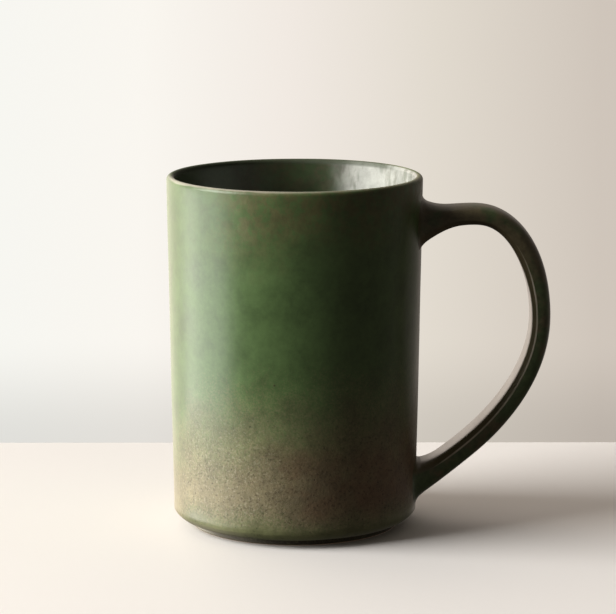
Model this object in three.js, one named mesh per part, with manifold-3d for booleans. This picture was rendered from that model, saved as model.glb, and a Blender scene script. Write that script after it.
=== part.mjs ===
// A tall stoneware mug: a thrown body with a ring foot, and a pulled strap handle luted on at two roots.
// Millimetres, +Z up. The origin is the middle of the whole mug's footprint box, on the surface it
// stands on, and the handle points to +X.
import * as THREE from "three";
import { mergeVertices } from "three/addons/utils/BufferGeometryUtils.js";
import Module from "manifold-3d";

const wasm = await Module();
wasm.setup();

// Body
const HEIGHT = 119;
const RIM_RADIUS = 43;
const BASE_RADIUS = 41.15; // outside of the wall just above the bottom corner
const LIP_ROUND = 1.4; // radius of the rounded lip
const LIP_DEPTH = 22; // below this depth the wall has its full thickness
const WALL = 4;
const FLOOR_TOP = 7.6;
const CORNER_ROUND = 9; // inside, where the wall meets the floor
const CORNER_HEIGHT = 2.2; // outside, from the foot's step up to the straight wall
const CORNER_TUCK = 1.6; // how tightly the outside corner turns under to the foot
const TURN_STEPS = 72; // facets around the body, a multiple of 4
const ARC_STEPS = 5;

// Foot
const FOOT_RADIUS = 35;
const FOOT_HEIGHT = 2;
const FOOT_RING = 5; // width of the ring that it stands on
const FOOT_EDGE = 0.5;
const RECESS_DEPTH = 2.2;

// Handle
const HANDLE_REACH = 86; // from the body's axis to the outside of the handle
const STRAP_THICKNESS = 6.4;
const STRAP_WIDTH = 16;
const STRAP_SQUARENESS = 3.2; // exponent of the section: 2 is an ellipse, more is squarer
const SECTION_STEPS = 20;
const SWEEP_STEPS = 44;
const ROOT_STEPS = 6;
const UPPER_ROOT_Z = 104.4;
const CREST_Z = 105.9; // centreline at its highest
const CREST_REACH = 61;
const KNUCKLE_Z = 71; // centreline at its furthest out
const LOWER_ROOT_Z = 15.5;
const LOWER_ROOT_SLOPE = THREE.MathUtils.degToRad(28.4);
const ROOT_RISE = 0.8; // climb of the centreline's first control point
const ROOT_LEAD = 8; // control lengths of the centreline, in order from the upper root
const CREST_LEAD = 8;
const CREST_TRAIL = 12.7;
const KNUCKLE_LEAD = 19.3;
const KNUCKLE_TRAIL = 24.5;
const LOWER_LEAD = 22.5;
const ROOT_LENGTH = 5; // how far each luted root stands off the wall
const ROOT_SINK = 2.4; // how far the centreline runs into the wall
const GAP = 0.3; // left between neighbouring pieces
const CUT_MARGIN = 10; // how far the wall's cutting shape runs past the mug's top and bottom

// How a root widens towards the wall: mm added at the wall, and the distance over which it fades.
const UPPER_FLARE = {
  inner: { extra: 7.4, reach: 15 },
  outer: { extra: 4, reach: 7 },
  side: { extra: 3, reach: 10 },
};
const LOWER_FLARE = {
  inner: { extra: 3.4, reach: 6 },
  outer: { extra: 3.2, reach: 17 },
  side: { extra: 2.4, reach: 10 },
};
const FLARE_POWER = 2.2;

const AXIS_X = (RIM_RADIUS - HANDLE_REACH) / 2; // the body's axis in the mug's frame

const bodyGlaze = new THREE.MeshStandardMaterial({ color: 0x5d7049, roughness: 0.38, metalness: 0 });
const handleGlaze = new THREE.MeshStandardMaterial({ color: 0x4a5538, roughness: 0.35, metalness: 0 });
const jointGlaze = new THREE.MeshStandardMaterial({ color: 0x55512f, roughness: 0.42, metalness: 0 });

// The straight outer wall's radius at a height.
function wallRadius(z) {
  const foot = FOOT_HEIGHT + CORNER_HEIGHT;
  const top = HEIGHT - LIP_ROUND;
  return THREE.MathUtils.mapLinear(z, foot, top, BASE_RADIUS, RIM_RADIUS);
}

// Turns an outline of (radius, height) points about the vertical axis.
function turned(points) {
  return new THREE.LatheGeometry(points, TURN_STEPS).rotateX(Math.PI / 2);
}

function bodyOutline() {
  const recessRadius = FOOT_RADIUS - FOOT_RING;
  const floorRadius = wallRadius(FLOOR_TOP + CORNER_ROUND) - WALL;
  const outline = new THREE.Path();
  outline.moveTo(0, RECESS_DEPTH);
  outline.lineTo(recessRadius - RECESS_DEPTH, RECESS_DEPTH);
  outline.lineTo(recessRadius, 0);
  outline.lineTo(FOOT_RADIUS - FOOT_EDGE, 0);
  outline.lineTo(FOOT_RADIUS, FOOT_EDGE);
  outline.lineTo(FOOT_RADIUS, FOOT_HEIGHT);
  outline.quadraticCurveTo(
    BASE_RADIUS - CORNER_TUCK,
    FOOT_HEIGHT + CORNER_TUCK / 3,
    BASE_RADIUS,
    FOOT_HEIGHT + CORNER_HEIGHT,
  );
  outline.absarc(RIM_RADIUS - LIP_ROUND, HEIGHT - LIP_ROUND, LIP_ROUND, 0, Math.PI, false);
  outline.lineTo(wallRadius(HEIGHT - LIP_DEPTH) - WALL, HEIGHT - LIP_DEPTH);
  outline.absarc(
    floorRadius - CORNER_ROUND,
    FLOOR_TOP + CORNER_ROUND,
    CORNER_ROUND,
    0,
    -Math.PI / 2,
    true,
  );
  outline.lineTo(0, FLOOR_TOP);
  return outline.getPoints(ARC_STEPS);
}

// The strap's centreline in the mug's own upright plane, from the upper root to the lower one.
function handleCentreline() {
  const at = (reach, z) => new THREE.Vector3(AXIS_X + reach, 0, z);
  const knuckle = HANDLE_REACH - STRAP_THICKNESS / 2;
  const upperWall = wallRadius(UPPER_ROOT_Z);
  const lowerWall = wallRadius(LOWER_ROOT_Z);
  const along = (length) =>
    at(
      lowerWall + length * Math.cos(LOWER_ROOT_SLOPE),
      LOWER_ROOT_Z + length * Math.sin(LOWER_ROOT_SLOPE),
    );
  const line = new THREE.CurvePath();
  line.add(new THREE.LineCurve3(at(upperWall - ROOT_SINK, UPPER_ROOT_Z), at(upperWall, UPPER_ROOT_Z)));
  line.add(
    new THREE.CubicBezierCurve3(
      at(upperWall, UPPER_ROOT_Z),
      at(upperWall + ROOT_LEAD, UPPER_ROOT_Z + ROOT_RISE),
      at(CREST_REACH - CREST_LEAD, CREST_Z),
      at(CREST_REACH, CREST_Z),
    ),
  );
  line.add(
    new THREE.CubicBezierCurve3(
      at(CREST_REACH, CREST_Z),
      at(CREST_REACH + CREST_TRAIL, CREST_Z),
      at(knuckle, KNUCKLE_Z + KNUCKLE_LEAD),
      at(knuckle, KNUCKLE_Z),
    ),
  );
  line.add(
    new THREE.CubicBezierCurve3(
      at(knuckle, KNUCKLE_Z),
      at(knuckle, KNUCKLE_Z - KNUCKLE_TRAIL),
      along(LOWER_LEAD),
      along(0),
    ),
  );
  line.add(new THREE.LineCurve3(along(0), along(-ROOT_SINK)));
  return line;
}

const centreline = handleCentreline();
const centrelineLength = centreline.getLength();

// The widening at a distance from the wall.
function flare(law, distance) {
  const rest = Math.max(0, 1 - Math.max(0, distance) / law.reach);
  return law.extra * rest ** FLARE_POWER;
}

// One ring of the strap's skin at a length along the centreline.
function strapRing(length) {
  const centre = centreline.getPointAt(length / centrelineLength);
  const tangent = centreline.getTangentAt(length / centrelineLength);
  const outward = new THREE.Vector3(-tangent.z, 0, tangent.x);
  const fromUpper = length - ROOT_SINK;
  const fromLower = centrelineLength - ROOT_SINK - length;
  const widening = (part) => flare(UPPER_FLARE[part], fromUpper) + flare(LOWER_FLARE[part], fromLower);
  const inner = STRAP_THICKNESS / 2 + widening("inner");
  const outer = STRAP_THICKNESS / 2 + widening("outer");
  const side = STRAP_WIDTH / 2 + widening("side");
  const rounded = (value) => Math.sign(value) * Math.abs(value) ** (2 / STRAP_SQUARENESS);
  const ring = [];
  for (let step = 0; step < SECTION_STEPS; step++) {
    const angle = (2 * Math.PI * step) / SECTION_STEPS;
    const thick = rounded(Math.cos(angle));
    const point = centre.clone().addScaledVector(outward, thick * (thick > 0 ? outer : inner));
    point.y = side * rounded(Math.sin(angle));
    ring.push(point);
  }
  return ring;
}

// A closed solid of the strap between two lengths along the centreline.
function strap(from, to, steps) {
  const points = [];
  for (let step = 0; step <= steps; step++) {
    points.push(...strapRing(THREE.MathUtils.lerp(from, to, step / steps)));
  }
  const index = [];
  for (let step = 0; step < steps; step++) {
    for (let side = 0; side < SECTION_STEPS; side++) {
      const a = step * SECTION_STEPS + side;
      const b = step * SECTION_STEPS + ((side + 1) % SECTION_STEPS);
      index.push(a, a + SECTION_STEPS, b, b, a + SECTION_STEPS, b + SECTION_STEPS);
    }
  }
  const last = steps * SECTION_STEPS;
  for (let side = 1; side < SECTION_STEPS - 1; side++) {
    index.push(0, side, side + 1);
    index.push(last, last + side + 1, last + side);
  }
  return new THREE.BufferGeometry().setFromPoints(points).setIndex(index);
}

function solid(geometry) {
  const bare = new THREE.BufferGeometry();
  bare.setAttribute("position", geometry.getAttribute("position"));
  bare.setIndex(geometry.getIndex());
  const merged = mergeVertices(bare, 1e-4);
  return new wasm.Manifold(
    new wasm.Mesh({
      numProp: 3,
      vertProperties: merged.attributes.position.array,
      triVerts: new Uint32Array(merged.index.array),
    }),
  );
}

// A luted root: the strap's flared end, shaped to the wall that it meets.
function root(from, to) {
  const bottom = -CUT_MARGIN;
  const top = HEIGHT + CUT_MARGIN;
  const keepClear = turned([
    new THREE.Vector2(0, bottom),
    new THREE.Vector2(wallRadius(bottom) + GAP, bottom),
    new THREE.Vector2(wallRadius(top) + GAP, top),
    new THREE.Vector2(0, top),
  ]).translate(AXIS_X, 0, 0);
  const mesh = solid(strap(from, to, ROOT_STEPS)).subtract(solid(keepClear)).getMesh();
  return new THREE.BufferGeometry()
    .setAttribute("position", new THREE.BufferAttribute(mesh.vertProperties, mesh.numProp))
    .setIndex(new THREE.BufferAttribute(mesh.triVerts, 1));
}

const mug = new THREE.Group();

function add(name, geometry, material) {
  const mesh = new THREE.Mesh(geometry, material);
  mesh.name = name;
  mug.add(mesh);
  return mesh;
}

// The body is turned about its own axis and then moved to it.
const body = add("mug_body", turned(bodyOutline()), bodyGlaze);
body.position.x = AXIS_X;

const rootEnd = ROOT_SINK + ROOT_LENGTH;
const handleEnd = centrelineLength - rootEnd;
add("handle", strap(rootEnd + GAP, handleEnd - GAP, SWEEP_STEPS), handleGlaze);
add("upper_handle_joint", root(0, rootEnd), jointGlaze);
add("lower_handle_joint", root(handleEnd, centrelineLength), jointGlaze);

export default mug;
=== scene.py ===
"""A tall stoneware mug under a satin reactive glaze, standing on a pale table in a soft studio.

Laid out as an add-on and run as a script: each operator makes one piece, or one group of like pieces.
"""

import math
import bpy
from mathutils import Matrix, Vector


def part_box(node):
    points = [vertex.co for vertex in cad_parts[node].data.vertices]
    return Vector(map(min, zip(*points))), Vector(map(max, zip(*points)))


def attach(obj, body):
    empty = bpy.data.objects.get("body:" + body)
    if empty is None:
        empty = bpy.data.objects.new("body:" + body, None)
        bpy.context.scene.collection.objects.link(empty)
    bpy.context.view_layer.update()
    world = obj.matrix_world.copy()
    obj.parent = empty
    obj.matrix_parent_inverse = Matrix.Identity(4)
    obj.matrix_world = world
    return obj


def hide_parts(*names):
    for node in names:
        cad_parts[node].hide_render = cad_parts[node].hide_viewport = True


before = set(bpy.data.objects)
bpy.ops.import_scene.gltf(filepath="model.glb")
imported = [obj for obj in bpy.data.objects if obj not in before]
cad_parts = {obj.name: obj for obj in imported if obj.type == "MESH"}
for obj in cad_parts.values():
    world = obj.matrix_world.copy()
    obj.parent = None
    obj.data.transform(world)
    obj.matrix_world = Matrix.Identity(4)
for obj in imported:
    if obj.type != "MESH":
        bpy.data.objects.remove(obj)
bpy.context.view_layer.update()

bl_info = {
    "name": "Stoneware Mug",
    "version": (1, 0, 0),
    "blender": (4, 5, 0),
    "location": "View3D > Sidebar > Mug",
    "description": "Throws a glazed stoneware mug, pulls its strap handle and sets the studio around it",
    "category": "Add Mesh",
}

ROOT_BODY = "root"
MM = 0.001

SHARP_ANGLE = math.radians(50)  # a fold sharper than this is shaded as an edge

body_low, body_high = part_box("mug_body")
handle_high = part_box("handle")[1]
AXIS_X = (body_low.x + body_high.x) / 2
AXIS = Vector((AXIS_X, 0, 0))


# Sizes and colours that a user would change


class BodySizes(bpy.types.PropertyGroup):
    """The thrown body, wall, lip, floor and foot."""

    height: bpy.props.FloatProperty(
        name="Height", description="From the table to the top of the lip",
        default=body_high.z, unit="LENGTH")
    rim_radius: bpy.props.FloatProperty(
        name="Rim radius", description="Outside of the wall at the lip",
        default=(body_high.y - body_low.y) / 2, unit="LENGTH")
    base_radius: bpy.props.FloatProperty(
        name="Base radius", description="Outside of the wall just above the bottom corner",
        default=41.15 * MM, unit="LENGTH")
    wall: bpy.props.FloatProperty(
        name="Wall", description="Thickness of the wall below the lip",
        default=4 * MM, unit="LENGTH")
    lip_round: bpy.props.FloatProperty(
        name="Lip round", description="Radius of the rounded lip",
        default=1.4 * MM, unit="LENGTH")
    lip_depth: bpy.props.FloatProperty(
        name="Lip depth", description="Depth below the rim at which the wall has its full thickness",
        default=22 * MM, unit="LENGTH")
    floor_top: bpy.props.FloatProperty(
        name="Floor top", description="Height of the floor inside",
        default=7.6 * MM, unit="LENGTH")
    floor_corner: bpy.props.FloatProperty(
        name="Floor corner", description="Radius inside, where the wall meets the floor",
        default=9 * MM, unit="LENGTH")
    corner_height: bpy.props.FloatProperty(
        name="Corner height", description="From the foot's step up to the straight wall",
        default=3.2 * MM, unit="LENGTH")
    corner_tuck: bpy.props.FloatProperty(
        name="Corner tuck", description="How tightly the bottom corner turns under to the foot",
        default=1.6 * MM, unit="LENGTH")
    foot_radius: bpy.props.FloatProperty(
        name="Foot radius", description="Outside of the foot ring",
        default=35 * MM, unit="LENGTH")
    foot_height: bpy.props.FloatProperty(
        name="Foot height", description="Height of the foot ring's side",
        default=2 * MM, unit="LENGTH")
    foot_ring: bpy.props.FloatProperty(
        name="Foot ring", description="Width of the ring that the mug stands on",
        default=5 * MM, unit="LENGTH")
    recess: bpy.props.FloatProperty(
        name="Recess", description="How far the underside is hollowed within the foot ring",
        default=2.2 * MM, unit="LENGTH")
    unevenness: bpy.props.FloatProperty(
        name="Unevenness", description="How far the thrown wall wanders from a true cone",
        default=0.25 * MM, unit="LENGTH")


class HandleSizes(bpy.types.PropertyGroup):
    """The pulled strap handle and its luted roots."""

    reach: bpy.props.FloatProperty(
        name="Reach", description="From the mug's axis to the outside of the handle",
        default=handle_high.x - AXIS_X, unit="LENGTH")
    thickness: bpy.props.FloatProperty(
        name="Thickness", description="Thickness of the strap",
        default=6.4 * MM, unit="LENGTH")
    width: bpy.props.FloatProperty(
        name="Width", description="Width of the strap across its ridges",
        default=16 * MM, unit="LENGTH")
    upper_root: bpy.props.FloatProperty(
        name="Upper root", description="Height of the centreline where it leaves the wall",
        default=104.4 * MM, unit="LENGTH")
    crest: bpy.props.FloatProperty(
        name="Crest", description="Height of the centreline at its highest",
        default=105.9 * MM, unit="LENGTH")
    crest_reach: bpy.props.FloatProperty(
        name="Crest reach", description="From the mug's axis to the crest",
        default=61 * MM, unit="LENGTH")
    knuckle: bpy.props.FloatProperty(
        name="Knuckle", description="Height at which the handle stands furthest out",
        default=71 * MM, unit="LENGTH")
    lower_root: bpy.props.FloatProperty(
        name="Lower root", description="Height of the centreline where it meets the wall again",
        default=15.5 * MM, unit="LENGTH")
    lower_slope: bpy.props.FloatProperty(
        name="Lower slope", description="Slope of the strap where it comes in to the lower root",
        default=math.radians(28.4), subtype="ANGLE")
    root_length: bpy.props.FloatProperty(
        name="Root length", description="How far each luted root stands off the wall",
        default=5 * MM, unit="LENGTH")


class GlazeColours(bpy.types.PropertyGroup):
    """The reactive glaze, from the lip down, and the bare clay."""

    # Also a painted highlight: the lip is painted paler towards the front left, where the light catches
    # it.
    lip: bpy.props.FloatVectorProperty(
        name="Lip", description="Where the glaze thins over the lip and shows the clay",
        default=(0.50, 0.47, 0.39), subtype="COLOR")
    shoulder: bpy.props.FloatVectorProperty(
        name="Shoulder", description="Olive band below the lip",
        default=(0.110, 0.113, 0.044), subtype="COLOR")
    green: bpy.props.FloatVectorProperty(
        name="Green", description="The middle of the body",
        default=(0.078, 0.134, 0.045), subtype="COLOR")
    turning: bpy.props.FloatVectorProperty(
        name="Turning", description="Between the green and the tan",
        default=(0.158, 0.169, 0.077), subtype="COLOR")
    tan: bpy.props.FloatVectorProperty(
        name="Tan", description="The iron-speckled lower third",
        default=(0.232, 0.205, 0.114), subtype="COLOR")
    rust: bpy.props.FloatVectorProperty(
        name="Rust", description="Red-brown clouds within the tan",
        default=(0.170, 0.098, 0.055), subtype="COLOR")
    # Painted shade: this dark colour stands for the shade on the foot ring's side under the bottom
    # corner, and along the far lip.
    foot: bpy.props.FloatVectorProperty(
        name="Foot", description="Glaze gathered above the foot ring",
        default=(0.026, 0.036, 0.014), subtype="COLOR")
    # Also a painted highlight: the pale runs lie on the lit inner wall by the handle.
    pale_runs_and_highlight: bpy.props.FloatVectorProperty(
        name="Milky", description="Pale runs inside, below the lip",
        default=(0.34, 0.345, 0.315), subtype="COLOR")
    # Also used as painted light on the bottom corner at the left.
    sand: bpy.props.FloatVectorProperty(
        name="Sand", description="Pale grains in the tan",
        default=(0.50, 0.46, 0.34), subtype="COLOR")
    # Also used as painted shade on the foot's side.
    speck: bpy.props.FloatVectorProperty(
        name="Speck", description="Iron specks",
        default=(0.035, 0.022, 0.013), subtype="COLOR")
    clay: bpy.props.FloatVectorProperty(
        name="Clay", description="Bare stoneware under the foot ring",
        default=(0.42, 0.30, 0.19), subtype="COLOR")
    handle: bpy.props.FloatVectorProperty(
        name="Handle", description="Dark green on the handle's sides",
        default=(0.078, 0.112, 0.046), subtype="COLOR")
    # Also a painted highlight: the pale line along the ridges stands for their shine.
    ridge: bpy.props.FloatVectorProperty(
        name="Ridge", description="Clay showing through along the handle's ridges",
        default=(0.62, 0.56, 0.45), subtype="COLOR")
    handle_brown: bpy.props.FloatVectorProperty(
        name="Handle brown", description="Brown along the handle's bevels",
        default=(0.128, 0.100, 0.056), subtype="COLOR")


class StudioSettings(bpy.types.PropertyGroup):
    """Camera, light and table."""

    camera_distance: bpy.props.FloatProperty(
        name="Camera distance", description="From the mug's axis to the camera along the table",
        default=992.2 * MM, unit="LENGTH")
    camera_height: bpy.props.FloatProperty(
        name="Camera height", description="Height of the camera above the table",
        default=253.1 * MM, unit="LENGTH")
    camera_tilt: bpy.props.FloatProperty(
        name="Camera tilt", description="How far the camera looks down",
        default=0.1787, subtype="ANGLE")
    camera_turn: bpy.props.FloatProperty(
        name="Camera turn", description="How far the camera looks towards the handle",
        default=0.0045, subtype="ANGLE")
    lens: bpy.props.FloatProperty(
        name="Lens", description="Focal length in millimetres on a 36 mm wide sensor",
        default=174.45)
    window_power: bpy.props.FloatProperty(
        name="Window power", description="Power of the large soft light on the left",
        default=72.5, unit="POWER")
    low_power: bpy.props.FloatProperty(
        name="Low power", description="Power of the low panel that the wall's sheen reflects",
        default=9.9, unit="POWER")
    reflector_power: bpy.props.FloatProperty(
        name="Reflector power", description="Power of the beam on to the inside of the wall",
        default=40, unit="POWER")
    window_turn: bpy.props.FloatProperty(
        name="Window turn", description="From straight in front round to the left",
        default=math.radians(79), subtype="ANGLE")
    window_rise: bpy.props.FloatProperty(
        name="Window rise", description="How high the light stands above the table's level",
        default=math.radians(28), subtype="ANGLE")
    table_depth: bpy.props.FloatProperty(
        name="Table behind", description="From the mug's axis to the table's back edge",
        default=118.4 * MM, unit="LENGTH")


# Modelling helpers


def deselect_all():
    if bpy.context.mode != "OBJECT":
        bpy.ops.object.mode_set(mode="OBJECT")
    bpy.ops.object.select_all(action="DESELECT")


def add_point(name, place):
    """A new mesh of one selected point, left in edit mode with its object at the origin."""
    deselect_all()
    bpy.ops.mesh.primitive_plane_add(size=MM, location=place)
    bpy.ops.object.transform_apply(location=True, rotation=True, scale=True)
    piece = bpy.context.object
    piece.name = name
    piece.data.name = name
    bpy.ops.object.mode_set(mode="EDIT")
    bpy.ops.mesh.select_all(action="SELECT")
    bpy.ops.mesh.merge(type="CENTER")
    return piece


def extrude_point(step):
    bpy.ops.mesh.extrude_vertices_move(TRANSFORM_OT_translate={"value": step})


def extrude_face(step):
    bpy.ops.mesh.extrude_region_move(TRANSFORM_OT_translate={"value": step})


def turn_about_y(angle, centre):
    """Turns the selection so that +X swings up towards +Z."""
    bpy.ops.transform.rotate(value=angle, orient_axis="Y", center_override=centre)


def apply_modifiers(piece):
    for modifier in list(piece.modifiers):
        bpy.ops.object.modifier_apply(modifier=modifier.name)


def smooth_shaded(piece):
    piece.select_set(True)
    bpy.ops.object.shade_smooth_by_angle(angle=SHARP_ANGLE)


def finish_piece(piece, material, slot, *nodes):
    piece.data.materials.clear()
    piece.data.materials.append(material)
    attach(piece, ROOT_BODY)
    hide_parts(*nodes)


# The thrown body


def arc(centre, radii, start, end, steps):
    """Points of an ellipse's arc in the (radius, height) plane, angles in degrees."""
    points = []
    for step in range(steps + 1):
        angle = math.radians(start + (end - start) * step / steps)
        points.append((centre[0] + radii[0] * math.cos(angle), centre[1] + radii[1] * math.sin(angle)))
    return points


def bent(start, control, end, steps):
    """Points of a curve that leaves start and reaches end towards the control point."""
    points = []
    for step in range(steps + 1):
        t = step / steps
        a, b, c = (1 - t) ** 2, 2 * t * (1 - t), t * t
        points.append(tuple(a * start[i] + b * control[i] + c * end[i] for i in range(2)))
    return points


def straight(start, end, steps):
    """Points along a straight line, without its two ends."""
    return [
        tuple(start[i] + (end[i] - start[i]) * step / steps for i in range(2))
        for step in range(1, steps)
    ]


def wall_radius(sizes, z):
    low = sizes.foot_height + sizes.corner_height
    high = sizes.height - sizes.lip_round
    return sizes.base_radius + (sizes.rim_radius - sizes.base_radius) * (z - low) / (high - low)


def body_outline(sizes):
    """(radius, height) from the middle of the underside, over the lip, to the middle of the floor.

    The number that ends each stretch is how many facets it has.
    """
    edge = 0.5 * MM  # rounding of the foot ring's edges
    ring_inner = sizes.foot_radius - sizes.foot_ring
    corner_top = sizes.foot_height + sizes.corner_height
    lip_base = sizes.height - sizes.lip_round
    lip_radius = sizes.rim_radius - sizes.lip_round
    inner_top = (wall_radius(sizes, sizes.height - sizes.lip_depth) - sizes.wall,
                 sizes.height - sizes.lip_depth)
    corner_z = sizes.floor_top + sizes.floor_corner
    inner_foot = wall_radius(sizes, corner_z) - sizes.wall
    recess_corner = (ring_inner - sizes.recess, sizes.recess)
    outline = [(0, sizes.recess)]
    outline += straight((0, sizes.recess), recess_corner, 10)
    outline += bent((recess_corner[0] - edge, sizes.recess), recess_corner,
                    (ring_inner - sizes.recess / 2, sizes.recess / 2), 4)
    outline += bent((ring_inner - edge, edge), (ring_inner, 0), (ring_inner + edge, 0), 4)
    outline += straight((ring_inner + edge, 0), (sizes.foot_radius - edge, 0), 5)
    outline += bent((sizes.foot_radius - edge, 0), (sizes.foot_radius, 0), (sizes.foot_radius, edge), 4)
    outline += straight((sizes.foot_radius, edge), (sizes.foot_radius, sizes.foot_height - edge), 3)
    outline += bent((sizes.foot_radius, sizes.foot_height - edge), (sizes.foot_radius, sizes.foot_height),
                    (sizes.foot_radius + edge, sizes.foot_height), 3)
    outline += bent((sizes.foot_radius + 2 * edge, sizes.foot_height),
                    (sizes.base_radius - sizes.corner_tuck, sizes.foot_height + sizes.corner_tuck / 3),
                    (sizes.base_radius, corner_top), 9)
    outline += straight((sizes.base_radius, corner_top), (sizes.rim_radius, lip_base), 70)
    outline += arc((lip_radius, lip_base), (sizes.lip_round,) * 2, 0, 180, 14)
    outline += straight((lip_radius - sizes.lip_round, lip_base), inner_top, 14)
    outline += straight(inner_top, (inner_foot, corner_z), 40)
    outline += arc((inner_foot - sizes.floor_corner, corner_z), (sizes.floor_corner,) * 2, 0, -90, 12)
    outline += straight((inner_foot - sizes.floor_corner, sizes.floor_top), (0, sizes.floor_top), 12)
    outline.append((0, sizes.floor_top))
    return outline


def wander(piece, size, strength):
    """Pushes the surface in and out by a soft cloud pattern of a size."""
    texture = bpy.data.textures.new("slow_wander", "CLOUDS")
    texture.noise_scale = size
    texture.noise_depth = 1
    modifier = piece.modifiers.new("wander", "DISPLACE")
    modifier.texture = texture
    modifier.texture_coords = "LOCAL"
    modifier.strength = strength
    modifier.mid_level = 0.5


class MUG_OT_throw_body(bpy.types.Operator):
    """Turns the wall, lip, floor and foot ring from one outline"""

    bl_idname = "mug.throw_body"
    bl_label = "Throw Body"

    turn_facets = 224
    weld_distance = 0.002 * MM
    wander_size = 38 * MM

    def execute(self, context):
        sizes = context.scene.mug_body_sizes
        outline = body_outline(sizes)
        piece = add_point("thrown_body", (AXIS_X + outline[0][0], 0, outline[0][1]))
        for here, there in zip(outline, outline[1:]):
            extrude_point((there[0] - here[0], 0, there[1] - here[1]))
        bpy.ops.mesh.select_all(action="SELECT")
        bpy.ops.mesh.spin(steps=self.turn_facets, angle=2 * math.pi, center=AXIS, axis=(0, 0, 1))
        bpy.ops.mesh.select_all(action="SELECT")
        bpy.ops.mesh.remove_doubles(threshold=self.weld_distance)
        bpy.ops.mesh.normals_make_consistent(inside=False)
        bpy.ops.object.mode_set(mode="OBJECT")
        wander(piece, self.wander_size, sizes.unevenness)
        apply_modifiers(piece)
        smooth_shaded(piece)
        finish_piece(piece, BodyGlaze(context.scene).finish(), "body_glaze", "mug_body")
        return {"FINISHED"}


# The pulled handle


def bezier(points, steps):
    """Points of a cubic curve through its four (x, z) controls, without the last."""
    made = []
    for step in range(steps):
        t = step / steps
        weights = ((1 - t) ** 3, 3 * t * (1 - t) ** 2, 3 * t * t * (1 - t), t ** 3)
        made.append(tuple(sum(w * p[i] for w, p in zip(weights, points)) for i in range(2)))
    return made


class Centreline:
    """The strap's centreline in the upright plane of the handle, by length from the upper wall.

    Three curves end to end, through the crest and the knuckle. A lead or a trail is how far a curve
    holds its direction before or after the place that it is named for.
    """

    sink = 2.4 * MM
    root_lead = 8 * MM
    root_rise = 0.8 * MM
    crest_lead = 8 * MM
    crest_trail = 12.7 * MM
    knuckle_lead = 19.3 * MM
    knuckle_trail = 23.7 * MM
    lower_lead = 23 * MM
    curve_steps = 200

    def __init__(self, body, handle):
        upper = AXIS_X + wall_radius(body, handle.upper_root)
        crest = AXIS_X + handle.crest_reach
        knuckle = AXIS_X + handle.reach - handle.thickness / 2
        lower = AXIS_X + wall_radius(body, handle.lower_root)

        def lower_at(length):
            return (lower + length * math.cos(handle.lower_slope),
                    handle.lower_root + length * math.sin(handle.lower_slope))

        points = [(upper - self.sink, handle.upper_root)]
        points += bezier((
            (upper, handle.upper_root), (upper + self.root_lead, handle.upper_root + self.root_rise),
            (crest - self.crest_lead, handle.crest), (crest, handle.crest)), self.curve_steps)
        points += bezier((
            (crest, handle.crest), (crest + self.crest_trail, handle.crest),
            (knuckle, handle.knuckle + self.knuckle_lead), (knuckle, handle.knuckle)), self.curve_steps)
        points += bezier((
            (knuckle, handle.knuckle), (knuckle, handle.knuckle - self.knuckle_trail),
            lower_at(self.lower_lead), lower_at(0)), self.curve_steps)
        points += [lower_at(0), lower_at(-self.sink)]
        self.points = [Vector((x, 0, z)) for x, z in points]
        self.lengths = [-self.sink]
        for here, there in zip(self.points, self.points[1:]):
            self.lengths.append(self.lengths[-1] + (there - here).length)
        self.total = self.lengths[-1] - self.sink

    def at(self, length):
        """The centre, and the angle of the strap's run above level, at a length from the upper wall."""
        index = 1
        while index < len(self.lengths) - 1 and self.lengths[index] < length:
            index += 1
        low, high = self.lengths[index - 1], self.lengths[index]
        start, end = self.points[index - 1], self.points[index]
        centre = start.lerp(end, (length - low) / (high - low))
        run = self.points[min(len(self.points) - 1, index + 2)] - self.points[max(0, index - 3)]
        return centre, math.atan2(run.z, run.x)


def faded(distance, reach):
    """1 at the wall, falling evenly to 0 at a distance."""
    return 1 - min(1, max(0, distance) / reach)


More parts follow.
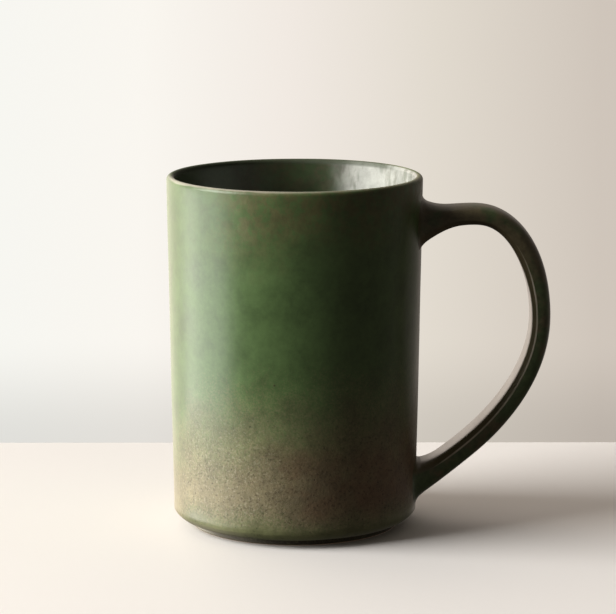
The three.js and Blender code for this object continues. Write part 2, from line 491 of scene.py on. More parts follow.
class Station:
    """One cross-section of the strap: its middle, thickness, half width and direction.

    A flare is how much a root widens at the wall, and the distance over which that fades. The weld is
    the fillet right against the wall. Near a wall the section leans until it stands upright. The strap
    is also left a little thicker round its upper bend and on the outside of its lower half.
    """

    upper_flare = {
        "inner": (5.9 * MM, 15.5 * MM), "outer": (3.0 * MM, 11.5 * MM), "side": (2.6 * MM, 10 * MM)}
    lower_flare = {
        "inner": (1.5 * MM, 12 * MM), "outer": (2.4 * MM, 21 * MM), "side": (2.2 * MM, 10 * MM)}
    flare_power = 2.3
    weld = 1.7 * MM
    weld_reach = 2.0 * MM
    lean_full = 1.5 * MM
    lean_reach = 17 * MM
    bend = 41 * MM
    bend_reach = 14 * MM
    bend_swell = {"inner": 0.6 * MM, "outer": 0.4 * MM, "side": 0}
    lower_swell = {"inner": 0, "outer": 0.9 * MM, "side": 0}
    lower_swell_start = 0.3  # as shares of the strap's length
    lower_swell_run = 0.5

    def __init__(self, line, body, handle, length):
        centre, run = line.at(length)
        self.length = length
        from_lower = line.total - length
        at_bend = math.exp(-((length - self.bend) / self.bend_reach) ** 2)
        lowered = (length - self.lower_swell_start * line.total) / (self.lower_swell_run * line.total)
        lowered = min(1, max(0, lowered))
        half = {}
        for part, plain in (("inner", handle.thickness / 2), ("outer", handle.thickness / 2),
                            ("side", handle.width / 2)):
            half[part] = plain + self.bend_swell[part] * at_bend + self.lower_swell[part] * lowered
            half[part] += self.flare(length, *self.upper_flare[part])
            half[part] += self.flare(from_lower, *self.lower_flare[part])
        level = 0 if length < from_lower else math.copysign(math.pi, run)
        near = faded(min(length, from_lower) - self.lean_full, self.lean_reach - self.lean_full)
        self.angle = run + (level - run) * near * near * (3 - 2 * near)
        self.run = Vector((math.cos(self.angle), 0, math.sin(self.angle)))
        self.outward = Vector((-math.sin(self.angle), 0, math.cos(self.angle)))
        stretch = 1 / math.cos(self.angle - run)
        self.middle = centre + self.outward * (half["outer"] - half["inner"]) / 2 * stretch
        self.thickness = (half["inner"] + half["outer"]) * stretch
        self.half_width = half["side"]
        self.from_wall = centre.x - AXIS_X - wall_radius(body, centre.z)

    def flare(self, distance, extra, fade):
        """The widening of a root at a distance from the wall."""
        close = faded(distance, self.weld_reach)
        weld = self.weld * (1 - math.sqrt(1 - close * close))
        return extra * faded(distance, fade) ** self.flare_power + weld


def station_lengths(line):
    """Lengths of the strap's sections, close together at the roots and further apart between them."""
    near = [-1.1, -0.5, 0, 0.25, 0.6, 1.1, 1.8, 2.7, 3.8, 5.2, 7, 9.2, 12, 15.5]
    near = [length * MM for length in near]
    between = 34  # sections between the two roots' own
    run = line.total - 2 * near[-1]
    middle = [near[-1] + run * step / between for step in range(1, between)]
    return near + middle + [line.total - length for length in reversed(near)]


# The strap's section, as (share of the thickness from the inside, share of the half width): a flat
# inside, a bevel out to the ridge, and then a side that rounds over to the outside.
STRAP_SECTION = (
    (0, 0.77), (0.13, 0.90), (0.26, 1), (0.44, 1), (0.60, 0.975), (0.74, 0.91),
    (0.86, 0.80), (0.94, 0.64), (0.985, 0.42), (1, 0.18),
)
RIDGE = 0.26  # the ridge's share of the thickness
# The ridge mark also carries the painted highlight line along the ridges.
RIDGE_MARK = 0.5  # how the glaze knows the ridge, and up to 1 where it shows clay
INSIDE_MARK = 0.4  # and the flat inside
INSIDE_SHARE = 0.05  # below this share of the thickness a point is on the flat inside


def strap_section(name, station):
    """The strap's first section as a face."""
    bottom = station.middle - Vector((0, 0, station.thickness / 2))
    piece = add_point(name, bottom)
    width = station.half_width * STRAP_SECTION[0][1]
    bpy.ops.transform.translate(value=(0, -width, 0))
    extrude_point((0, 2 * width, 0))
    bpy.ops.mesh.select_all(action="SELECT")
    for (low, narrow), (high, wide) in zip(STRAP_SECTION, STRAP_SECTION[1:]):
        extrude_face((0, 0, (high - low) * station.thickness))
        middle = bottom + Vector((0, 0, high * station.thickness))
        bpy.ops.transform.resize(value=(1, wide / narrow, 1), center_override=middle)
    bpy.ops.mesh.select_all(action="SELECT")
    return piece


def pull_strap(name, stations):
    """Draws the first section out along all the stations, as one closed piece."""
    piece = strap_section(name, stations[0])
    turn_about_y(stations[0].angle, stations[0].middle)
    for here, there in zip(stations, stations[1:]):
        extrude_face(there.middle - here.middle)
        turn_about_y(-here.angle, there.middle)
        scale = (1, there.half_width / here.half_width, there.thickness / here.thickness)
        bpy.ops.transform.resize(value=scale, center_override=there.middle)
        turn_about_y(there.angle, there.middle)
    bpy.ops.mesh.select_all(action="SELECT")
    bpy.ops.mesh.normals_make_consistent(inside=False)
    bpy.ops.object.mode_set(mode="OBJECT")
    return piece


def sections_of(piece, stations):
    """The vertices of each section, as (station, indices)."""
    off_plane = 0.01 * MM
    found = []
    for station in stations:
        found.append((station, [
            v.index for v in piece.data.vertices
            if abs((v.co - station.middle).dot(station.run)) < off_plane
            and (v.co - station.middle).length < 2 * station.half_width
        ]))
    return found


def mark_strap(piece, sections, total):
    """Marks each point for the glaze: its share of the thickness from the inside, and its edge."""
    clay_and_highlight_from, clay_and_highlight_fade, clay_and_highlight_end = 24 * MM, 30 * MM, 14 * MM
    widest, close = 0.97, 0.05
    across = piece.data.attributes.new("across", "FLOAT", "POINT")
    edge = piece.data.attributes.new("edge", "FLOAT", "POINT")
    for station, indices in sections:
        # Where the ridge's pale clay and painted highlight line show: not near the upper root, fading in
        # along the strap and out at the lower root.
        shows = min(1, max(0, (station.length - clay_and_highlight_from) / clay_and_highlight_fade))
        shows *= min(1, max(0, total - station.length) / clay_and_highlight_end)
        for index in indices:
            place = piece.data.vertices[index].co - station.middle
            share = place.dot(station.outward) / station.thickness + 0.5
            across.data[index].value = share
            on_side = abs(place.y) > widest * station.half_width
            if on_side and abs(share - RIDGE) < close:
                edge.data[index].value = RIDGE_MARK + (1 - RIDGE_MARK) * shows
            elif share < INSIDE_SHARE:
                edge.data[index].value = INSIDE_MARK


def narrow_inside(piece, sections, total):
    """Draws in the flat of the strap's inside as it comes down to the lower wall."""
    fade = 15 * MM
    narrowest = 0.6
    across = [place.value for place in piece.data.attributes["across"].data]
    for station, indices in sections:
        share = max(0, total - station.length) / fade
        if share >= 1:
            continue
        inside = [index for index in indices if across[index] < INSIDE_SHARE]
        bpy.ops.object.mode_set(mode="EDIT")
        bpy.ops.mesh.select_all(action="DESELECT")
        bpy.ops.object.mode_set(mode="OBJECT")
        for index in inside:
            piece.data.vertices[index].select = True
        bpy.ops.object.mode_set(mode="EDIT")
        width = narrowest + (1 - narrowest) * share
        bpy.ops.transform.resize(value=(1, width, 1), center_override=station.middle)
        bpy.ops.object.mode_set(mode="OBJECT")


def lute_to_wall(piece, wall, sections, total):
    """Bends the sections near each wall round it, each at its own distance from the wall."""
    reach = 7 * MM
    furthest = 20 * MM
    for station, indices in sections:
        distance = min(station.length, total - station.length)
        if distance > reach:
            continue
        share = max(0, distance) / reach
        group = piece.vertex_groups.new(name="section")
        group.add(indices, 1 - share * share * (3 - 2 * share), "REPLACE")
        wrap = piece.modifiers.new("lute", "SHRINKWRAP")
        wrap.target = wall
        wrap.wrap_method = "PROJECT"
        wrap.use_project_x = True
        wrap.use_positive_direction = True
        wrap.use_negative_direction = True
        wrap.project_limit = furthest
        wrap.wrap_mode = "OUTSIDE_SURFACE" if distance > 0 else "INSIDE"
        wrap.offset = abs(station.from_wall)
        wrap.vertex_group = group.name
        apply_modifiers(piece)
        piece.vertex_groups.clear()


def crease_strap(piece):
    """Firms the strap's long edges, which the smoothing would otherwise round away."""
    firm = 0.3
    crease = piece.data.attributes.new("crease_edge", "FLOAT", "EDGE")
    edge = piece.data.attributes["edge"]
    for line in piece.data.edges:
        mark = min(edge.data[index].value for index in line.vertices)
        if mark >= RIDGE_MARK:
            crease.data[line.index].value = firm + firm * (mark - RIDGE_MARK)
        elif mark > 0:
            crease.data[line.index].value = firm


def smooth_strap(piece):
    subdivision = piece.modifiers.new("smooth", "SUBSURF")
    subdivision.levels = 2
    subdivision.render_levels = 2
    apply_modifiers(piece)


def mark_end(piece, name, sections, is_near):
    """Groups the sections at one end, so that a cut there leaves the other end alone."""
    group = piece.vertex_groups.new(name=name)
    for station, indices in sections:
        if is_near(station):
            group.add(indices, 1.0, "REPLACE")


def cut_strap(piece, station, keep_after, end_group):
    """Cuts the strap square across at a station near one end and closes the cut."""
    deselect_all()
    bpy.context.view_layer.objects.active = piece
    piece.select_set(True)
    bpy.ops.object.mode_set(mode="EDIT")
    bpy.ops.mesh.select_all(action="DESELECT")
    piece.vertex_groups.active = piece.vertex_groups[end_group]
    bpy.ops.object.vertex_group_select()
    bpy.ops.mesh.bisect(plane_co=station.middle, plane_no=station.run, use_fill=True,
                        clear_inner=keep_after, clear_outer=not keep_after)
    bpy.ops.object.mode_set(mode="OBJECT")


def strap_piece(name, scene, part):
    """The upper root, the lower root or the strap between them, drawn to the same sections."""
    body, handle = scene.mug_body_sizes, scene.mug_handle_sizes
    line = Centreline(body, handle)
    past_cut = 2.5 * handle.root_length  # an end is everything up to here
    upper_cut, lower_cut = handle.root_length, line.total - handle.root_length
    lengths = station_lengths(line)
    if part == "upper":
        lengths = [length for length in lengths if length < past_cut]
    elif part == "lower":
        lengths = [length for length in lengths if length > line.total - past_cut]
    stations = [Station(line, body, handle, length) for length in lengths]
    piece = pull_strap(name, stations)
    sections = sections_of(piece, stations)
    mark_strap(piece, sections, line.total)
    narrow_inside(piece, sections, line.total)
    crease_strap(piece)
    lute_to_wall(piece, bpy.data.objects["thrown_body"], sections, line.total)
    mark_end(piece, "upper_end", sections, lambda station: station.length < past_cut)
    mark_end(piece, "lower_end", sections, lambda station: station.length > line.total - past_cut)
    smooth_strap(piece)
    if part != "lower":
        cut_strap(piece, Station(line, body, handle, upper_cut), part == "strap", "upper_end")
    if part != "upper":
        cut_strap(piece, Station(line, body, handle, lower_cut), part == "lower", "lower_end")
    piece.vertex_groups.clear()
    smooth_shaded(piece)
    return piece


class MUG_OT_pull_handle(bpy.types.Operator):
    """Pulls the strap between its two luted roots"""

    bl_idname = "mug.pull_handle"
    bl_label = "Pull Handle"

    def execute(self, context):
        piece = strap_piece("strap_handle", context.scene, "strap")
        finish_piece(piece, handle_glaze(context.scene, "handle_glaze"), "handle_glaze", "handle")
        return {"FINISHED"}


class MUG_OT_lute_roots(bpy.types.Operator):
    """Flares the strap's two ends and lutes them to the wall"""

    bl_idname = "mug.lute_roots"
    bl_label = "Lute Roots"

    def execute(self, context):
        glaze = handle_glaze(context.scene, "joint_glaze")
        upper = strap_piece("upper_root", context.scene, "upper")
        finish_piece(upper, glaze, "joint_glaze", "upper_handle_joint")
        lower = strap_piece("lower_root", context.scene, "lower")
        finish_piece(lower, glaze, "joint_glaze", "lower_handle_joint")
        return {"FINISHED"}


# Glaze


class Wiring:
    """A material's node tree, with short ways to add nodes and read places on the mug."""

    def __init__(self, name):
        self.material = bpy.data.materials.new(name)
        self.material.use_nodes = True
        self.tree = self.material.node_tree
        self.tree.nodes.clear()
        self.output = self.tree.nodes.new("ShaderNodeOutputMaterial")
        self.place = self.node("ShaderNodeTexCoord").outputs["Object"]
        centred = self.node("ShaderNodeMapping", {"Vector": self.place, "Location": -AXIS})
        self.centred = centred.outputs["Vector"]
        self.height = self.node("ShaderNodeSeparateXYZ", {"Vector": self.centred}).outputs["Z"]

    def node(self, kind, inputs=None, **settings):
        made = self.tree.nodes.new(kind)
        for key, value in settings.items():
            setattr(made, key, value)
        for key, value in (inputs or {}).items():
            if isinstance(value, bpy.types.NodeSocket):
                self.tree.links.new(value, made.inputs[key])
            else:
                made.inputs[key].default_value = value
        return made

    def maths(self, operation, first, second=0.0, clamp=False):
        return self.node("ShaderNodeMath", {0: first, 1: second}, operation=operation,
                         use_clamp=clamp).outputs[0]

    def times(self, first, *others):
        for other in others:
            first = self.maths("MULTIPLY", first, other)
        return first

    def plus(self, first, *others):
        for other in others:
            first = self.maths("ADD", first, other)
        return first

    def noise(self, scale, detail=2.0, roughness=0.5, place=None):
        """Soft noise from 0 to 1, with scale patches to a metre."""
        return self.node("ShaderNodeTexNoise", {
            "Vector": place or self.centred, "Scale": scale, "Detail": detail,
            "Roughness": roughness}).outputs["Fac"]

    def swing(self, *settings):
        """The same noise, as far below 0 as above it."""
        return self.maths("SUBTRACT", self.noise(*settings), 0.5)

    def moved(self, **mapping):
        """The place on the mug, moved or scaled, so that a second pattern doesn't follow the first."""
        return self.node("ShaderNodeMapping", {"Vector": self.centred, **mapping}).outputs["Vector"]

    def remap(self, value, low, high, to_low=0.0, to_high=1.0, curve="SMOOTHSTEP"):
        return self.node("ShaderNodeMapRange", {
            "Value": value, "From Min": low, "From Max": high,
            "To Min": to_low, "To Max": to_high}, interpolation_type=curve).outputs["Result"]

    def mix(self, share, first, second, blend="MIX"):
        made = self.node("ShaderNodeMix", {"Factor": share}, data_type="RGBA", blend_type=blend)
        for index, value in ((6, first), (7, second)):
            if isinstance(value, bpy.types.NodeSocket):
                self.tree.links.new(value, made.inputs[index])
            else:
                made.inputs[index].default_value = (*value[:3], 1)
        return made.outputs[2]

    def tint(self, colour, by):
        return self.mix(1.0, colour, by, "MULTIPLY")

    def shade(self, colour, factor):
        """The colour made lighter or darker by a factor."""
        grey = self.node("ShaderNodeCombineXYZ", {"X": factor, "Y": factor, "Z": factor})
        return self.tint(colour, grey.outputs["Vector"])

    def bands(self, value, stops):
        ramp = self.node("ShaderNodeValToRGB", {"Fac": value})
        elements = ramp.color_ramp.elements
        elements[0].position, elements[0].color = stops[0][0], (*stops[0][1][:3], 1)
        elements[1].position, elements[1].color = stops[-1][0], (*stops[-1][1][:3], 1)
        for position, colour in stops[1:-1]:
            element = elements.new(position)
            element.color = (*colour[:3], 1)
        return ramp.outputs["Color"]

    def peel(self):
        """The faint orange peel of a satin glaze."""
        return self.times(self.noise(420, 2, 0.5), 0.5)

    def surface(self, colour, roughness, relief, depth):
        bump = self.node("ShaderNodeBump", {"Height": relief, "Distance": depth})
        shader = self.node("ShaderNodeBsdfPrincipled", {
            "Base Color": colour, "Roughness": roughness, "Normal": bump.outputs["Normal"]})
        self.tree.links.new(shader.outputs["BSDF"], self.output.inputs["Surface"])
        return self.material


GLAZE_RELIEF = 0.06 * MM
GLAZE_ROUGHNESS = 0.34


def specks(w, scale, size, share):
    """Round specks, scale to a metre, of a size beside their spacing, at a share of the places."""
    cells = w.node("ShaderNodeTexVoronoi", {"Vector": w.centred, "Scale": scale})
    chance = w.node("ShaderNodeSeparateXYZ", {"Vector": cells.outputs["Color"]})
    radius = w.times(w.plus(chance.outputs["Y"], 0.4), size)
    margin = w.maths("SUBTRACT", radius, cells.outputs["Distance"])
    inside = w.maths("DIVIDE", margin, size * 0.4, clamp=True)
    return w.times(inside, w.maths("LESS_THAN", chance.outputs["X"], share))


class BodyGlaze(Wiring):
    """Green above, breaking to iron-speckled tan below, with bare clay under the foot ring."""

    def __init__(self, scene):
        super().__init__("reactive_glaze")
        self.colours = scene.mug_glaze_colours
        self.top = scene.mug_body_sizes.height
        sides = self.node("ShaderNodeSeparateXYZ", {"Vector": self.centred}).outputs
        self.x = sides["X"]
        self.y = sides["Y"]
        self.share = self.maths("DIVIDE", self.height, self.top)
        self.broad = self.swing(19, 2, 0.5)
        self.middling = self.swing(95, 3, 0.55)
        self.level = self.glaze_level()
        crowded = self.times(self.remap(self.level, 0.03, 0.1), self.remap(self.level, 0.46, 0.2))
        self.crowded = self.times(crowded, self.remap(self.x, -42 * MM, -34 * MM, 0.35, 1.0))
        patches = self.remap(self.noise(240, 5, 0.75), 0.38, 0.58, 0.1, 1.0)
        olive = self.times(self.remap(self.level, 0.74, 0.96), patches)
        self.olive = self.times(olive, self.remap(self.x, -32 * MM, -12 * MM, 0.1, 1.0))
        self.iron = self.times(specks(self, 620, 0.20, 0.16), self.crowded)
        # The far lip: painted shade along the back of the lip, and a rougher glaze there.
        near_top = self.remap(self.height, self.top - 2 * MM, self.top - 0.9 * MM)
        far_side = self.times(self.remap(self.y, -6 * MM, 10 * MM),
                              self.remap(self.x, 38 * MM, 30 * MM))
        self.far_lip = self.times(near_top, far_side)
        # Painted shade on the foot's side, left off on the lit left.
        self.foot_side = self.times(self.remap(self.height, 2.5 * MM, 2.0 * MM),
                                    self.remap(self.x, -36 * MM, -24 * MM))
        self.bare = self.remap(self.height, 0.25 * MM, 0.1 * MM)

    def glaze_level(self):
        """Height as a share of the mug's, wandering, and lower towards the handle, as the glaze ran."""
        drift = self.plus(self.times(self.broad, 0.24), self.times(self.middling, 0.14))
        drift = self.times(drift, self.remap(self.share, 0.0, 0.25, 0.15, 1.0))
        slant = self.times(self.x, -1.2, self.remap(self.share, 0.05, 0.25))
        away = self.remap(self.x, -33 * MM, -42 * MM, 0.0, 0.09)
        return self.plus(self.share, drift, slant, away)

    def green_to_tan(self):
        sand = self.times(self.swing(1500, 2, 0.6), self.remap(self.share, 0.0, 0.15, 0.08, 0.35))
        colours = self.colours
        # The dark foot colour at the bottom of these bands is painted shade on the foot ring's side,
        # under the bottom corner.
        return self.bands(self.plus(self.level, sand), [
            (0.00, colours.foot), (0.012, colours.foot), (0.022, colours.turning),
            (0.055, colours.turning), (0.11, colours.tan), (0.17, colours.tan),
            (0.30, colours.turning), (0.47, colours.green)])

    def rust_clouds(self, colour):
        """Clouds of red-brown within the tan, more of them towards the handle."""
        lower = self.times(self.remap(self.level, 0.06, 0.14), self.remap(self.level, 0.36, 0.2))
        towards_handle = self.remap(self.x, -26 * MM, 4 * MM, 0.12, 1.0)
        cloud = self.remap(self.noise(42, 3, 0.6), 0.42, 0.62, 0.3, 1.0)
        return self.mix(self.times(lower, towards_handle, cloud, 0.8), colour, self.colours.rust)

    def inside_cup(self, colour):
        """Painted shade darkens the inside, and pale runs with a painted highlight lie below the lip on
        the handle's side.
        """
        flat = self.node("ShaderNodeVectorMath", {0: self.centred, 1: (1.0, 1.0, 0.0)},
                         operation="MULTIPLY").outputs[0]
        radius = self.node("ShaderNodeVectorMath", {0: flat}, operation="LENGTH").outputs["Value"]
        inside = self.times(self.remap(radius, 41.2 * MM, 40.8 * MM),
                            self.remap(self.height, 5 * MM, 7 * MM))
        # Painted shade: the inside of the cup is darkened.
        colour = self.mix(inside, colour, self.tint(colour, (0.42, 0.40, 0.48)))
        # Pale runs and a painted highlight, on the inner wall by the handle where the light falls.
        runs = self.remap(self.noise(230, 4, 0.62, self.moved(Scale=(1.0, 1.0, 0.28))), 0.36, 0.60)
        side = self.remap(self.plus(self.x, self.times(self.broad, 0.02)), 9 * MM, 21 * MM)
        pale_runs_and_highlight = self.times(inside, side, self.remap(self.height, 88 * MM, 108 * MM),
                           self.remap(runs, 0.0, 1.0, 0.5, 1.0), 0.85)
        return self.mix(pale_runs_and_highlight, colour, self.colours.pale_runs_and_highlight)

    def mottled(self, colour):
        soft = self.times(self.swing(420, 3, 0.7), self.remap(self.share, 0.1, 0.9, 1.0, 0.8))
        mottle = self.plus(self.noise(130, 4, 0.65), self.middling, soft)
        return self.shade(colour, self.remap(mottle, 0.15, 0.85, 0.76, 1.24, curve="LINEAR"))

    def sand_and_iron(self, colour):
        """Pale grains, pepper and iron specks, crowded in the tan band and sparse above it."""
        grains = self.times(self.remap(self.noise(1250, 2, 0.6), 0.52, 0.70), self.crowded,
                            self.remap(self.x, -22 * MM, 5 * MM, 0.32, 0.08))
        colour = self.mix(grains, colour, self.colours.sand)
        pepper = self.noise(1000, 3, 0.65, self.moved(Location=(0.3, 0.1, 0.2)))
        pepper = self.times(self.remap(pepper, 0.52, 0.68), self.crowded, 0.55)
        colour = self.mix(pepper, colour, self.tint(colour, (0.25, 0.20, 0.16)))
        colour = self.mix(self.times(self.iron, 0.7), colour, self.colours.speck)
        stray = specks(self, 150, 0.055, 0.05)
        return self.mix(self.times(stray, 0.7), colour, self.colours.speck)

    def lip(self, colour):
        """The glaze thins and pales over the near lip, paler towards the front left as a painted
        highlight, and is dark along the far one as painted shade.
        """
        uneven_height = self.plus(self.height, self.times(self.middling, 1.2 * MM))
        lip = self.remap(uneven_height, self.top - 0.65 * MM, self.top - 0.1 * MM)
        along = self.plus(self.x, self.times(self.broad, 30 * MM))
        # Paler towards the front left: a painted highlight where the light catches the lip, over the
        # glaze's real thinning.
        thin_glaze_and_highlight = self.times(self.remap(along, 20 * MM, -25 * MM, 0.2, 0.62),
                          self.remap(self.y, 5 * MM, -15 * MM, 0.1, 1.0))
        colour = self.mix(self.times(lip, thin_glaze_and_highlight), colour, self.colours.lip)
        # Painted shade: the far lip is darkened with the dark foot colour.
        return self.mix(self.times(self.far_lip, 0.75), colour, self.colours.foot)

    def foot(self, colour):
        """Pale at the bottom corner away from the handle as painted light, dark on the foot's side as
        painted shade, bare under it.
        """
        # Painted light: the bottom corner on the lit left is paled with the sand colour.
        corner = self.times(self.remap(self.height, 6 * MM, 3.5 * MM),
                            self.remap(self.x, -8 * MM, -34 * MM))
        colour = self.mix(self.times(corner, 0.6), colour, self.colours.sand)
        # Painted shade: the foot's side is darkened, except on the lit left.
        colour = self.mix(self.times(self.foot_side, 0.7), colour, self.colours.speck)
        return self.mix(self.bare, colour, self.colours.clay)

    def finish(self):
        colour = self.mix(self.olive, self.green_to_tan(), self.colours.shoulder)
        for step in (self.rust_clouds, self.inside_cup, self.mottled, self.sand_and_iron,
                     self.lip, self.foot):
            colour = step(colour)
        dry = self.maths("MAXIMUM", self.crowded, self.times(self.olive, 0.45))
        rough = self.plus(self.times(dry, 0.2), GLAZE_ROUGHNESS)
        rough = self.plus(rough, self.times(self.plus(self.foot_side, self.far_lip), 0.4))
        rough = self.plus(rough, self.times(self.middling, 0.10))
        rough = self.maths("MAXIMUM", rough, self.times(self.bare, 0.85))
        grit = self.times(self.swing(1050, 2, 0.6), self.plus(dry, 0.12), 1.3)
        pits = self.times(self.iron, -0.6)
        return self.surface(colour, rough, self.plus(self.peel(), grit, pits), GLAZE_RELIEF)


def handle_glaze(scene, name):
    """The same glaze, darker, breaking brown along the strap's edges, with painted shade on the crown and
    crest and a painted highlight along the ridges.
    """
    colours = scene.mug_glaze_colours
    w = Wiring(name)
    across = w.node("ShaderNodeAttribute", attribute_name="across").outputs["Fac"]
    edge = w.node("ShaderNodeAttribute", attribute_name="edge").outputs["Fac"]
    middling = w.swing(95, 3, 0.55)
    browner = w.remap(w.height, 60 * MM, 100 * MM, 0.0, 0.2)
    brown = w.remap(w.plus(w.noise(130, 5, 0.7), middling, browner), 0.46, 0.74)
    colour = w.mix(w.times(brown, 0.85), colours.handle, colours.handle_brown)
    colour = w.shade(colour, w.remap(w.noise(380, 3, 0.7), 0.3, 0.7, 0.7, 1.3, curve="LINEAR"))

    # Brown on the bevel, and painted shade darkening the crown and over the crest.
    bevel = w.remap(across, 0.30, 0.20)
    colour = w.mix(w.times(bevel, 0.75), colour, colours.handle_brown)
    crest = w.remap(w.height, 99 * MM, 106 * MM, 0.0, 0.95)
    crown = w.maths("MAXIMUM", w.remap(across, 0.84, 0.97), crest)
    colour = w.mix(w.times(crown, 0.7), colour, w.tint(colour, (0.5, 0.48, 0.45)))

    # Clay shows here and there along the ridges, painted pale also as a highlight line, and a few iron
    # specks everywhere.
    worn_and_highlight = w.times(w.remap(edge, 0.62, 0.95), w.remap(w.noise(60, 3, 0.6), 0.35, 0.6, 0.5, 1.0))
    colour = w.mix(worn_and_highlight, colour, colours.ridge)
    colour = w.mix(w.times(specks(w, 160, 0.1, 0.15), 0.8), colour, colours.speck)
    rough = w.plus(w.times(middling, 0.12), GLAZE_ROUGHNESS)
    relief = w.plus(w.peel(), w.times(w.swing(1500, 2, 0.6), 0.15))
    return w.surface(colour, rough, relief, GLAZE_RELIEF)


# Studio


def table_finish():
    """Matt paint, a little paler on the handle's side as painted light, where the window's light falls
    off.
    """
    w = Wiring("pale_table")
    x = w.node("ShaderNodeSeparateXYZ", {"Vector": w.centred}).outputs["X"]
    left = w.mix(w.noise(14, 3), (0.80, 0.785, 0.765), (0.83, 0.815, 0.795))
    # Painted light: paler towards the handle's side, where the window's light falls off.
    colour = w.mix(w.remap(x, -160 * MM, 60 * MM), left, (0.875, 0.855, 0.835))
    return w.surface(colour, 0.6, w.noise(300, 3), 0.05 * MM)


class WorldWiring:
    """The world's node tree, with the direction of view split into its parts."""

    def __init__(self, scene):
        world = bpy.data.worlds.new("studio")
        scene.world = world
        world.use_nodes = True
        self.tree = world.node_tree
        self.tree.nodes.clear()
        place = self.node("ShaderNodeTexCoord").outputs["Generated"]
        self.x, self.y, self.z = self.node("ShaderNodeSeparateXYZ", {"Vector": place}).outputs

    node = Wiring.node
    maths = Wiring.maths
    times = Wiring.times
    plus = Wiring.plus
    remap = Wiring.remap
    bands = Wiring.bands


# The backdrop from left to right.
BACKDROP = (
    (0.0, (0.93, 0.925, 0.88)), (0.25, (0.955, 0.925, 0.87)), (0.49, (0.88, 0.82, 0.76)),
    (0.73, (0.755, 0.70, 0.62)), (1.0, (0.625, 0.56, 0.495)),
)
BACKDROP_HALF_WIDTH = 0.1013
GLOW_COLOUR = (1.0, 0.875, 0.765, 1.0)


def studio_world(scene):
    """A pale backdrop as the camera sees it, and for all else its glow, which lies behind the mug."""
    w = WorldWiring(scene)
    across = w.remap(w.x, -BACKDROP_HALF_WIDTH, BACKDROP_HALF_WIDTH, curve="LINEAR")
    near_table = w.remap(w.z, -0.222, -0.186, 0.80, 1.0)
    backdrop = w.node("ShaderNodeBackground", {
        "Color": w.bands(across, BACKDROP), "Strength": near_table})

    # The glow is strongest to the left, and fades out high up, below the table and far to the right.
    behind = w.remap(w.y, 0.0, 0.35)
    sideways = w.times(w.remap(w.x, -0.30, 0.05, 2.2, 0.36), w.remap(w.x, 0.30, 0.62, 1.0, 0.2))
    low = w.times(w.remap(w.z, 0.45, 0.12, 0.52, 1.0), w.remap(w.z, -0.38, -0.26))

    # A patch low on the right gives the wall's edge its shine.
    shine = w.times(w.remap(w.z, -0.195, -0.230, 0.0, 1.6), w.remap(w.x, 0.22, 0.38),
                    w.remap(w.z, -0.32, -0.27))
    everywhere = w.remap(w.z, -0.50, -0.30, 0.05, 0.09)
    strength = w.plus(w.times(behind, sideways, w.times(low, w.plus(shine, 1.0))), everywhere)
    glow = w.node("ShaderNodeBackground", {"Color": GLOW_COLOUR, "Strength": strength})
    camera_sees = w.node("ShaderNodeLightPath").outputs["Is Camera Ray"]
    either = w.node("ShaderNodeMixShader", {
        0: camera_sees, 1: glow.outputs["Background"], 2: backdrop.outputs["Background"]})
    w.node("ShaderNodeOutputWorld", {"Surface": either.outputs["Shader"]})


def hang_light(scene, data, place, direction):
    """Hangs a light at a place, shining back against a direction."""
    light = bpy.data.objects.new(data.name, data)
    light.location = place
    light.rotation_euler = direction.to_track_quat("Z", "Y").to_euler()
    scene.collection.objects.link(light)
    return light


def soft_light(scene, name, turn, rise, distance, size, power, colour):
    """A soft panel of light aimed at the mug, turned from the front towards the left."""
    level = math.cos(rise)
    direction = Vector((-math.sin(turn) * level, -math.cos(turn) * level, math.sin(rise)))
    aim = AXIS + Vector((0, 0, 50 * MM))
    data = bpy.data.lights.new(name, "AREA")
    data.shape = "RECTANGLE"
    data.size, data.size_y = size
    data.energy = power
    data.color = colour
    hang_light(scene, data, aim + direction * distance, direction)


def reflector(scene, power):
    """A narrow beam over the left of the lip on to the inside of the wall by the handle."""
    target = AXIS + Vector((31 * MM, 21 * MM, 106 * MM))
    direction = Vector((-0.80, -0.22, 0.52)).normalized()
    distance = 0.8
    data = bpy.data.lights.new("reflector", "SPOT")
    data.energy = power
    data.spot_size = math.radians(3.6)
    data.spot_blend = 1.0
    data.shadow_soft_size = 8 * MM
    data.color = (1.0, 1.0, 0.97)
    light = hang_light(scene, data, target + direction * distance, direction)
    lit = bpy.data.collections.new("lit_by_reflector")
    lit.objects.link(bpy.data.objects["thrown_body"])
    light.light_linking.receiver_collection = lit


def lay_table(back_edge):
    """The table takes shadows and lends the mug no light, which the low panel does for it."""
    width, depth, thickness = 3.2, 2.0, 0.025
    deselect_all()
    bpy.ops.mesh.primitive_cube_add(size=1, location=(0, back_edge - depth / 2, -thickness / 2))
    table = bpy.context.object
    table.name = "table"
    table.scale = (width, depth, thickness)
    bpy.ops.object.transform_apply(location=True, rotation=True, scale=True)
    table.data.materials.append(table_finish())
    table.visible_diffuse = False
    table.visible_glossy = False
    table.visible_shadow = False


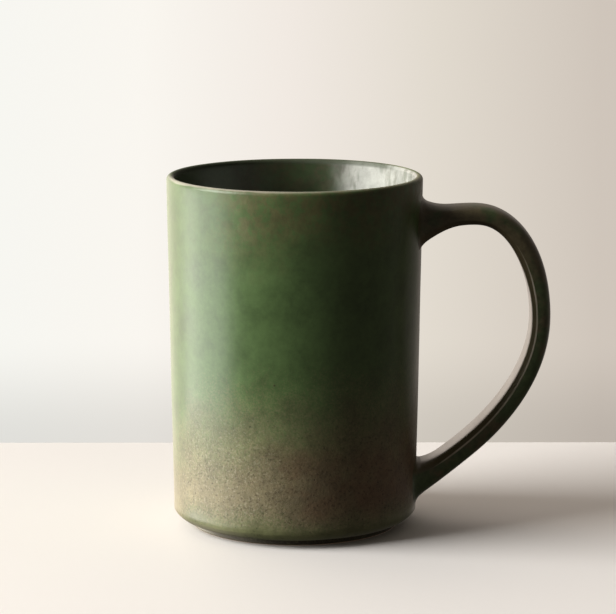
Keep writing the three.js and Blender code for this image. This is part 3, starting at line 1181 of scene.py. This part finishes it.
def set_camera(scene, studio):
    data = bpy.data.cameras.new("camera")
    data.sensor_width = 36
    data.lens = studio.lens
    camera = bpy.data.objects.new("camera", data)
    camera.location = (AXIS_X, -studio.camera_distance, studio.camera_height)
    camera.rotation_euler = (math.pi / 2 - studio.camera_tilt, 0, -studio.camera_turn)
    scene.collection.objects.link(camera)
    scene.camera = camera


class MUG_OT_set_stage(bpy.types.Operator):
    """Sets the table, the backdrop, the soft light and the camera"""

    bl_idname = "mug.set_stage"
    bl_label = "Set Stage"

    def execute(self, context):
        scene = context.scene
        studio = scene.mug_studio
        lay_table(studio.table_depth)
        soft_light(scene, "window", studio.window_turn, studio.window_rise, distance=2.0,
                   size=(1.33, 1.4), power=studio.window_power, colour=(1.0, 0.975, 0.94))
        soft_light(scene, "low_window", math.radians(90), math.radians(-12), distance=1.2,
                   size=(1.2, 0.5), power=studio.low_power, colour=(1.0, 0.99, 0.96))
        reflector(scene, studio.reflector_power)
        set_camera(scene, studio)
        studio_world(scene)
        scene.view_settings.view_transform = "Standard"
        return {"FINISHED"}


class MUG_PT_workbench(bpy.types.Panel):
    """The steps of making the mug, in order"""

    bl_idname = "MUG_PT_workbench"
    bl_label = "Stoneware Mug"
    bl_space_type = "VIEW_3D"
    bl_region_type = "UI"
    bl_category = "Mug"

    def draw(self, context):
        for operator in OPERATORS:
            self.layout.operator(operator.bl_idname)


OPERATORS = (MUG_OT_throw_body, MUG_OT_pull_handle, MUG_OT_lute_roots, MUG_OT_set_stage)
GROUPS = {
    "mug_body_sizes": BodySizes,
    "mug_handle_sizes": HandleSizes,
    "mug_glaze_colours": GlazeColours,
    "mug_studio": StudioSettings,
}


def register():
    for name, group in GROUPS.items():
        bpy.utils.register_class(group)
        setattr(bpy.types.Scene, name, bpy.props.PointerProperty(type=group))
    for made in (*OPERATORS, MUG_PT_workbench):
        bpy.utils.register_class(made)


def unregister():
    for made in reversed((*OPERATORS, MUG_PT_workbench)):
        bpy.utils.unregister_class(made)
    for name, group in reversed(GROUPS.items()):
        delattr(bpy.types.Scene, name)
        bpy.utils.unregister_class(group)


def main():
    register()
    bpy.ops.mug.throw_body()
    bpy.ops.mug.pull_handle()
    bpy.ops.mug.lute_roots()
    bpy.ops.mug.set_stage()


if __name__ == "__main__":
    main()
